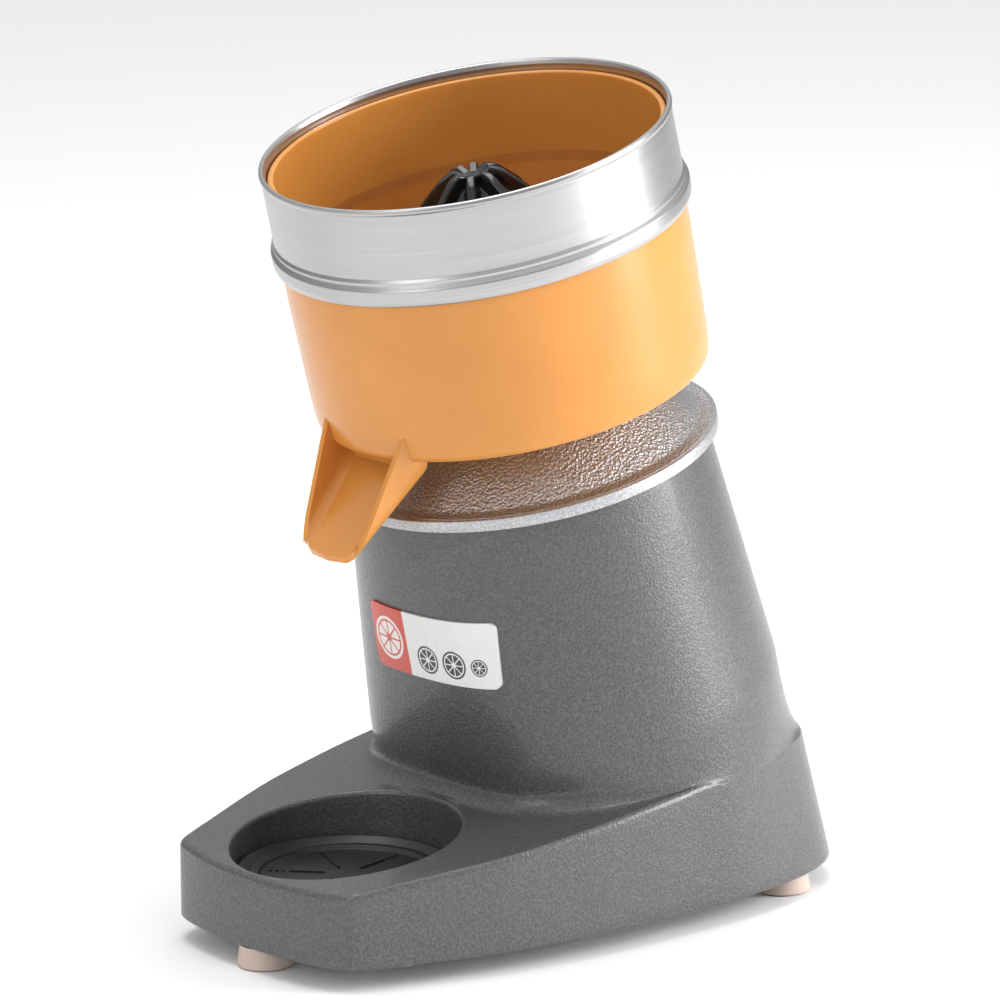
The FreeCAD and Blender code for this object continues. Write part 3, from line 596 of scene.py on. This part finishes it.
rim = base_edge(60.0)
turn = np.arctan2(rim[:, 0], -(rim[:, 1] - COLUMN_Y))
foot_h = np.full(ROUND, -120.0)
for _ in range(14):                        # slide down each wall line until it meets the deck
    point = column_wall(turn, foot_h)
    foot_h = foot_h - (point[:, 2] - deck(point[:, 1])) / np.cos(LEAN)
wall_foot = column_wall(turn, foot_h)
rearward = np.clip((0.35 - np.cos(turn)) / 0.60, 0, 1)
rearward = rearward**2 * (3 - 2 * rearward)
rim_z = np.full(ROUND, 60.0)
for _ in range(8):                         # lift the rim to the deck, a little lower at the rear
    rim_z = deck(base_edge(rim_z)[:, 1]) - REAR_DIP * rearward
rim = base_edge(rim_z)
ledge = np.hypot(*(rim - wall_foot)[:, :2].T)
print("ledge from", ledge.min().round(1), "to", ledge.max().round(1), "mm")

# %% [markdown]
# ### Weaving the skin
#
# The rows run from the top of the column, down the wall, round the fillet, over the deck, round the rim
# and under the base. Boxes with bevels would need the same radius everywhere; an arc worked out in each
# corner lets the radius shrink where the ledge is too narrow for it.

# %% The whole skin
def bend(before, corner, after, radius, steps):
    """Arc of a given radius in the corner of three points, for many corners at once."""
    back, ahead = before - corner, after - corner
    back_length = np.linalg.norm(back, axis=-1, keepdims=True)
    ahead_length = np.linalg.norm(ahead, axis=-1, keepdims=True)
    back, ahead = back / back_length, ahead / ahead_length
    half = np.arccos(np.clip((back * ahead).sum(-1, keepdims=True), -1, 1)) / 2
    reach = np.minimum(radius[:, None] / np.tan(half), 0.49 * ahead_length)
    reach = np.minimum(reach, 0.9 * back_length)
    radius = reach * np.tan(half)
    middle = back + ahead
    centre = corner + middle / np.linalg.norm(middle, axis=-1, keepdims=True) * radius / np.sin(half)
    first, last = corner + back * reach - centre, corner + ahead * reach - centre
    sweep = (np.pi - 2 * half)[None]
    t = np.linspace(0, 1, steps)[:, None, None]
    arc = np.sin((1 - t) * sweep) * first + np.sin(t * sweep) * last
    return centre + arc / np.maximum(np.sin(sweep), 1e-6)


def between(first, last, steps):
    """Rows evenly spaced between two rows, without either of them."""
    t = np.linspace(0, 1, steps + 2)[1:-1, None, None]
    return first + (last - first) * t


front_share = np.clip((1 + np.cos(turn)) / 2, 0, 1)
fillet_r = 10.0 - 1.0 * front_share
wall_end = foot_h + 16.0 + 8.0 * rearward
above_foot = column_wall(turn, wall_end)
low_edge, inner_edge = base_edge(SOLE_Z), base_edge(SOLE_Z, 4.0)
foot_arc = bend(above_foot, wall_foot, rim, fillet_r, 12)
rim_arc = bend(wall_foot, rim, low_edge, np.full(ROUND, 3.2), 9)
low_arc = bend(rim, low_edge, inner_edge, np.full(ROUND, 1.2), 5)
top_h = np.linspace(0, 1, 26)[:, None]
wall_rows = column_wall(turn[None, :], top_h * wall_end[None, :])
deck_rows = between(foot_arc[-1], rim_arc[0], 10)
foot_gap = foot_arc[-1][:, 2] - deck(foot_arc[-1][:, 1])
deck_rows[..., 2] = deck(deck_rows[..., 1]) + foot_gap * np.linspace(1, 0, 12)[1:-1, None]
apron = np.concatenate([foot_arc, deck_rows])
t = np.linspace(0.08, 0.95, len(apron))[:, None, None]
flare = (1 - t)**2 * above_foot + 2 * t * (1 - t) * wall_foot + t**2 * rim_arc[0]
share = rearward[None, :, None]
apron = apron * (1 - share) + flare * share
side_rows = between(rim_arc[-1], low_arc[0], 8)
under = base_edge(12.2, 4.0)
skin = np.concatenate([wall_rows, between(above_foot, apron[0], 2), apron, rim_arc, side_rows,
                       low_arc, between(low_arc[-1], inner_edge, 1), inner_edge[None], under[None]])
body = woven("body_shell", skin, angle=50.0)
print("body skin", skin.shape[:2])

# %% [markdown]
# ## The recess for the glass
#
# A round well with a soft lip stands in front of the column. The lip has to follow the sloping deck, so
# the cutter is a plug whose trumpet mouth is worked out from the deck's own height; a boolean takes it out.

# %% Cut the recess
WELL_Y, WELL_R, WELL_WALL_Z, LIP = -94.4, 47.8, 28.4, 1.8    # centre, radius, foot of the wall, lip radius


def recess_plug():
    """Plug rows: floor, a small corner, the straight wall, then a quarter round that ends in the deck."""
    around = np.linspace(0, 2 * np.pi, 240, endpoint=False)
    top = deck(WELL_Y - WELL_R * np.cos(around))
    lip = np.linspace(0, np.radians(80), 8)
    lip_r, lip_drop = WELL_R + LIP * (1 - np.cos(lip)), LIP * (1 - np.sin(lip))
    rows = [(r, z + 0 * top) for r, z in ((44.0, 27.0), (46.6, 27.0), (47.5, 27.4), (WELL_R, WELL_WALL_Z))]
    rows += [(WELL_R, WELL_WALL_Z + (top - LIP - WELL_WALL_Z) * s) for s in (0.25, 0.5, 0.75)]
    rows += [(r, deck(WELL_Y - r * np.cos(around)) - drop) for r, drop in zip(lip_r, lip_drop)]
    rows += [(50.2, top + 2.0)]
    return np.stack([np.stack([r * np.sin(around), WELL_Y - r * np.cos(around), z], -1) for r, z in rows])


def cut_out(piece, cutter):
    """Take the cutter's shape out of a piece and throw the cutter away."""
    change = piece.modifiers.new("cut", "BOOLEAN")
    change.operation, change.solver, change.object = "DIFFERENCE", "EXACT", cutter
    graph = bpy.context.evaluated_depsgraph_get()
    done = bpy.data.meshes.new_from_object(piece.evaluated_get(graph))
    piece.modifiers.clear()
    old, piece.data = piece.data, done
    bpy.data.meshes.remove(old)
    bpy.data.objects.remove(cutter)


cut_out(body, woven("recess_plug", recess_plug()))
show_smooth(body, 35.0)
dress(body, "frame", "hammertone_paint", "column_casting", "base_front_casting", "base_rear_casting")

# %% [markdown]
# ## The switch pad
#
# The switch sits on a raised pad at the back, cast with the body. Growing it out of the skin would crowd
# the rows there, so it is a small rounded block of its own, sunk into the wall, with a window in it.

# %% The switch pad
def rounded_block(name, low, high, radius):
    """Box whose four corners, seen from behind, are arcs; rows run from front to back."""
    (x0, y0, z0), (x1, y1, z1) = low, high
    loop = rounded([(x0, z0, radius), (x1, z0, radius), (x1, z1, radius), (x0, z1, radius)], 5, 3.0)
    rows = []
    for y, inset in ((y0, 0), (y1 - 1.5, 0), (y1 - 0.6, 0.25), (y1 - 0.15, 0.8), (y1, 1.6)):
        middle = np.array([(x0 + x1) / 2, (z0 + z1) / 2])
        shrink = 1 - inset / ((x1 - x0) / 2)
        ring = middle + (loop - middle) * shrink
        rows.append(np.stack([ring[:, 0], np.full(len(ring), y), ring[:, 1]], -1))
    return woven(name, np.stack(rows))


pad = rounded_block("switch_pad", (-18, 118, 44.5), (18, 132.6, 71.5), 4.0)
cut_out(pad, rounded_block("pad_window", (-14, 121, 48), (14, 136, 68), 0.6))
show_smooth(pad)
dress(pad, "frame", "hammertone_paint")

# %% [markdown]
# ## Flange, bowl, ring
#
# Three turned parts stack on the axis. Their outlines are given as corners with radii, exactly as a
# turner's drawing would. The bowl's outline runs up the outside, over the rim and back down the inside
# and round the chimney that the motor's nose stands in. Lofted blocks could never be this even.

# %% The aluminium flange
flange = turned("flange", [
    (8.6, -15.9), (26, -15.9, 1), (26, -5), (69.0, -5.0, 0.8), (69.0, 0.05), (80.9, 0.05, 0.7),
    (80.9, 5.2, 0.7), (74, 6.1, 4), (52, 23.5, 10), (47, 31.1, 1.5), (18.5, 31.1, 2),
    (17.6, 40, 1.2), (8.6, 40, 0.8)])
dress(flange, "frame", "cast_aluminium", "motor_flange")

# %% [markdown]
# ### The bowl and its outlet
#
# The bowl is one moulding 2.5 mm thick. Its outlet is a slot in the floor over the back of the trough, and
# a slot is simplest taken out of the finished turning, as a moulder's core would leave it.

# %% The orange bowl with its outlet
WALL = 2.5
bowl = turned("bowl", [
    (21.4, 31.5), (82.6, 31.5, 4.0), (83.4, 44.0, 60), (84.4, 88.0), (84.4, 108.0, 0.5),
    (83.0, 108.0, 0.4), (83.0, 139.2, 0.9), (80.5, 139.2, 0.9), (80.5, 104.0, 4), (81.9, 99.0, 4),
    (81.9, 88.0), (80.9, 44.0, 60), (80.1, 34.0, 2.0), (23.9, 34.0, 4), (23.5, 52.0, 1.0), (21.4, 52.0, 1.0)],
    columns=320)

ROOT, TIP = np.array([-60.0, 29.2]), np.array([-110.5, -2.6])    # the trough's floor line (backward, up)
SPOUT = np.linalg.norm(TIP - ROOT)
RUN = (TIP - ROOT) / SPOUT
RISE = np.array([RUN[1], -RUN[0]])
BACK, CORNER = 69.5, 7.5                                         # its closed end, and its corner radius


def leaned_block(name, low, high):
    """Box drawn in the leaning frame (sideways, backward, along the axis)."""
    (x0, v0, h0), (x1, v1, h1) = low, high
    loop = rounded([(x0, v0), (x1, v0), (x1, v1), (x0, v1)], 4, 4.0)
    rows = [np.column_stack([loop, np.full(len(loop), h)]) for h in np.linspace(h0, h1, 3)]
    return woven(name, lean(np.stack(rows)))


cut_out(bowl, leaned_block("mouth_cutter", (-15, -77.5, 30.5), (15, -BACK - WALL, 34.5)))
show_smooth(bowl, 30.0)
dress(bowl, "bowl", "orange_plastic", "bowl_wall", "bowl_floor")

# %% [markdown]
# ## The spout
#
# The spout is a trough with walls that fall towards its lip. A trough pushed into the bowl would poke
# through to the inside, so each line of its skin starts within the bowl's wall, and the two grow together.

# %% The pouring spout
def bowl_wall_r(h):
    """Middle of the bowl's wall at a height, nothing below its floor."""
    radius = np.interp(h, [31.9, 33.0, 36.0, 44.0, 88.0], [78.0, 80.5, 81.9, 82.2, 83.2])
    return np.where(h < 31.9, 0.0, radius)


def spout_line_start(x, q):
    """Last place along the floor line still inside the bowl, but never behind the trough's closed end."""
    s = np.linspace(-14, 45, 600)[:, None]
    v, h = ROOT[:, None, None] + s * RUN[:, None, None] + q[None, None, :] * RISE[:, None, None]
    inside = np.hypot(x[None, :], v) < bowl_wall_r(h)
    leaves = s[:, 0][np.where(inside.any(0), len(s) - 1 - inside[::-1].argmax(0), 0)]
    return np.maximum(leaves, (BACK + 1.0 + ROOT[0] + q * RISE[0]) / -RUN[0])


def channel(s, inset):
    """U outline at distance s, from floor to arc to wall, ended at the wall's top.

    On the arc x = half - c + c sin(a) and q = c (1 - cos(a)).
    """
    half, corner = 27.0 - 8.5 * s / SPOUT - inset, CORNER - inset
    top = np.maximum(26.25 - 0.4224 * s, 1.4 + inset)
    widest = np.arccos(1 - np.clip((top - inset) / corner, 0, 1))
    arc = np.r_[np.ones(8), np.linspace(1, 0, 13), 0, np.linspace(0, 1, 13), np.ones(8)]
    wall = np.r_[np.linspace(1, 0, 9)[:-1], np.zeros(27), np.linspace(0, 1, 9)[1:]]
    way = np.r_[-np.ones(21), 0, np.ones(21)]
    x = way * (half - corner + corner * np.sin(arc * widest))
    arc_q = inset + corner * (1 - np.cos(arc * widest))
    return x, arc_q + wall * np.maximum(top - arc_q, 0)


def spout_skin():
    """Rows along the spout; each row goes round the outside of the U and back along its inside."""
    rows = []
    for u in np.linspace(0, 1, 40):
        ring = []
        for inset, order in ((0.0, 1), (WALL, -1)):
            start = spout_line_start(*channel(np.full(43, 12.0), inset))
            x, q = channel(start, inset)
            start = spout_line_start(x, q)
            end = SPOUT + 0.6 * (inset == 0) - 4.5 * (np.abs(x) / np.abs(x).max()) ** 4
            s = start + (end - start) * u
            x, q = channel(s, inset)
            flat = ROOT + s[:, None] * RUN + q[:, None] * RISE
            ring.append(lean(np.column_stack([x, flat]))[::order])
        rows.append(np.concatenate(ring))
    return np.stack(rows)


def strip_caps(grid):
    """Faces that close a folded ring: point i of the outside joins point i of the inside."""
    cols = grid.shape[1]
    i = np.arange(cols // 2 - 1)
    pair = np.stack([i, i + 1, cols - 2 - i, cols - 1 - i], -1)
    return pair, pair + (grid.shape[0] - 1) * cols


spout_grid = spout_skin()
rows, cols = spout_grid.shape[:2]
first_cap, last_cap = strip_caps(spout_grid)
spout = piece_from("spout", spout_grid.reshape(-1, 3),
                   grid_cells(rows, cols) + first_cap.tolist() + last_cap.tolist())
face_outwards(spout)
soften = spout.modifiers.new("soft_edges", "BEVEL")
soften.width, soften.segments = 0.0008, 4
soften.limit_method, soften.angle_limit = "ANGLE", np.radians(50)
show_smooth(spout, 60.0)
dress(spout, "bowl", "orange_plastic", "pouring_spout")
back = leaned_block("spout_back", (-22, -BACK - WALL, 24.5), (22, -BACK, 31.8))
show_smooth(back)
dress(back, "bowl", "orange_plastic")

# %% [markdown]
# ## The splash ring
#
# The ring is spun from sheet over a former: a rolled bead above and below stiffens it, and its lower edge
# drops over the bowl's rim. An outline of the sheet's own thickness shows both rolls.

# %% The spun splash ring
ring = turned("ring", [
    (84.9, 102.9, 0.5), (85.9, 102.1, 0.5), (86.7, 102.1, 1.0), (87.5, 104.6, 2.5), (87.5, 109.1, 1.6),
    (86.0, 111.0, 0.6), (86.35, 112.3, 0.5), (85.5, 113.6, 1.0), (85.35, 138.6, 2), (85.25, 140.6, 1.2),
    (86.1, 141.9, 1.0), (85.7, 143.7, 0.9), (84.0, 143.7, 0.9), (83.5, 141.6, 0.5), (83.5, 110.2, 0.8),
    (84.9, 108.4, 0.5)], columns=360)
dress(ring, "ring", "spun_aluminium", "splash_ring")

# %% [markdown]
# ## The reamer
#
# A blunt black cone with eight stout ribs. The core is turned; a rib is added by pushing the skin outward
# where it lies close to one of eight half planes that meet at the axis, so the ribs keep their thickness
# all the way up and fade out over the crown, just as a mould would cut them.

# %% The ribbed cone
RIBS, RIB_HALF, RIB_HEIGHT = 8, 1.9, 6.0


def reamer_skin(columns=720):
    """Core outline pushed outward on the ribs; the distance to a rib's half plane is r sin(angle).

    The push is RIB_HEIGHT / (1 + (distance / RIB_HALF)^6), so half height lies at RIB_HALF.
    """
    core = rounded([(8.0, 66.0), (34.5, 66.0, 1.0), (34.5, 69.0, 1.2), (29.5, 84.0, 30), (19.5, 111.0, 14),
                    (9.0, 121.0, 9), (0.4, 123.5)], 8, 1.0, closed=False)
    tangent = np.gradient(core, axis=0)
    normal = np.stack([tangent[:, 1], -tangent[:, 0]], -1) / np.linalg.norm(tangent, axis=1, keepdims=True)
    normal *= np.where(normal.sum(1) < 0, -1, 1)[:, None]
    angle = np.linspace(0, 2 * np.pi, columns, endpoint=False)
    near = (angle + np.pi / RIBS) % (2 * np.pi / RIBS) - np.pi / RIBS
    away = core[:, :1] * np.abs(np.sin(near))
    rib = 1 / (1 + (away / RIB_HALF) ** 6)
    height = RIB_HEIGHT * np.clip((core[:, 1:] - 69.5) / 4, 0, 1) * np.clip(core[:, :1] / 6.0, 0.35, 1)
    push = rib * height
    r = core[:, :1] + push * normal[:, :1]
    h = core[:, 1:] + push * normal[:, 1:]
    return lean(np.stack([r * np.sin(angle), -r * np.cos(angle), h], -1))


cone = woven("reamer_cone", reamer_skin(), angle=40.0)
dress(cone, "reaming_cone", "black_gloss_plastic", "reamer")

# %% [markdown]
# ## Studio
#
# A pale floor fades into a white surround that is brighter above than at the sides. A lit dome alone
# would leave the turned metal flat, so three broad soft lamps draw long reflections down it.

# %% Floor and surround
def stage_floor(reach=6000, drop=-0.4):
    """One large square just under the feet."""
    corners = [(x * reach, y * reach, drop) for x, y in ((-1, -1), (1, -1), (1, 1), (-1, 1))]
    piece = piece_from("studio_floor", corners, [(0, 1, 2, 3)])
    floor = Finish("studio_white", Roughness=0.9)
    drift = floor.noise(1.5, 2.0)
    floor.feed("Base Color", floor.blend(drift, (0.90, 0.90, 0.90, 1), (0.92, 0.92, 0.92, 1)))
    piece.data.materials.append(floor.material)


stage_floor()
world = bpy.data.worlds.new("surround")
bpy.context.scene.world = world
world.use_nodes = True
sky = Network(world.node_tree)
height = sky.split(sky.add("ShaderNodeTexCoord", {}, {}, "Generated"))[2]
background = sky.tree.nodes["Background"]
background.inputs["Color"].default_value = (1.0, 1.0, 1.0, 1)
sky.tree.links.new(sky.spread(height, -0.05, 0.75, 0.22, 0.9).socket, background.inputs["Strength"])
bpy.context.scene.view_settings.view_transform = "Standard"
print("surround nodes", len(sky.tree.nodes))

# %% [markdown]
# ### Lamps
#
# Each lamp is a rectangle aimed at the middle of the machine: a tall one behind and to the right for the
# long highlight, a weak one in front, and a wide one overhead.

# %% Three soft lamps
def lamp(name, place, size, power):
    """Rectangular lamp of a size in metres and a power in watts, turned to face the machine."""
    light = bpy.data.lights.new(name, "AREA")
    light.shape, light.size, light.size_y, light.energy = "RECTANGLE", size[0], size[1], power
    thing = bpy.data.objects.new(name, light)
    bpy.context.collection.objects.link(thing)
    thing.location = place
    thing.rotation_mode = "QUATERNION"
    thing.rotation_quaternion = (Vector((0.0, -0.02, 0.17)) - Vector(place)).to_track_quat("-Z", "Y")
    print(name, power, "W")


lamp("key", (1.25, 1.15, 0.65), (0.7, 1.2), 34)
lamp("fill", (0.2, -1.9, 0.9), (0.9, 0.9), 6)
lamp("top", (-0.2, 0.1, 1.9), (1.2, 1.2), 19)

# %% [markdown]
# ### Camera
#
# The camera looks from a little above the rim. Its distance and lens are long, so upright edges stay
# nearly parallel. Two crossed directions and the roll give its axes without any trial and error.

# %% The camera
AIM, DISTANCE = np.array([0.0, -8.53, 173.68]), 2969.1
azimuth, elevation, roll = np.radians([49.65, 13.60, -0.79])
level = np.array([np.sin(azimuth), -np.cos(azimuth), 0.0])
toward = level * np.cos(elevation) + np.array([0.0, 0.0, np.sin(elevation)])
side = np.cross(-toward, [0, 0, 1])
side /= np.linalg.norm(side)
upward = np.cross(side, -toward)
right = side * np.cos(roll) + upward * np.sin(roll)
upward = upward * np.cos(roll) - side * np.sin(roll)
camera = bpy.data.objects.new("camera", bpy.data.cameras.new("camera"))
bpy.context.collection.objects.link(camera)
camera.data.lens, camera.data.sensor_width = 257.37, 36.0
camera.data.clip_start, camera.data.clip_end = 0.1, 50
place = Matrix(np.column_stack([right, upward, toward]).tolist()).to_4x4()
place.translation = Vector(((AIM + toward * DISTANCE) * 0.001).tolist())
camera.matrix_world = place
bpy.context.scene.camera = camera
print("camera at", [round(v, 3) for v in place.translation])
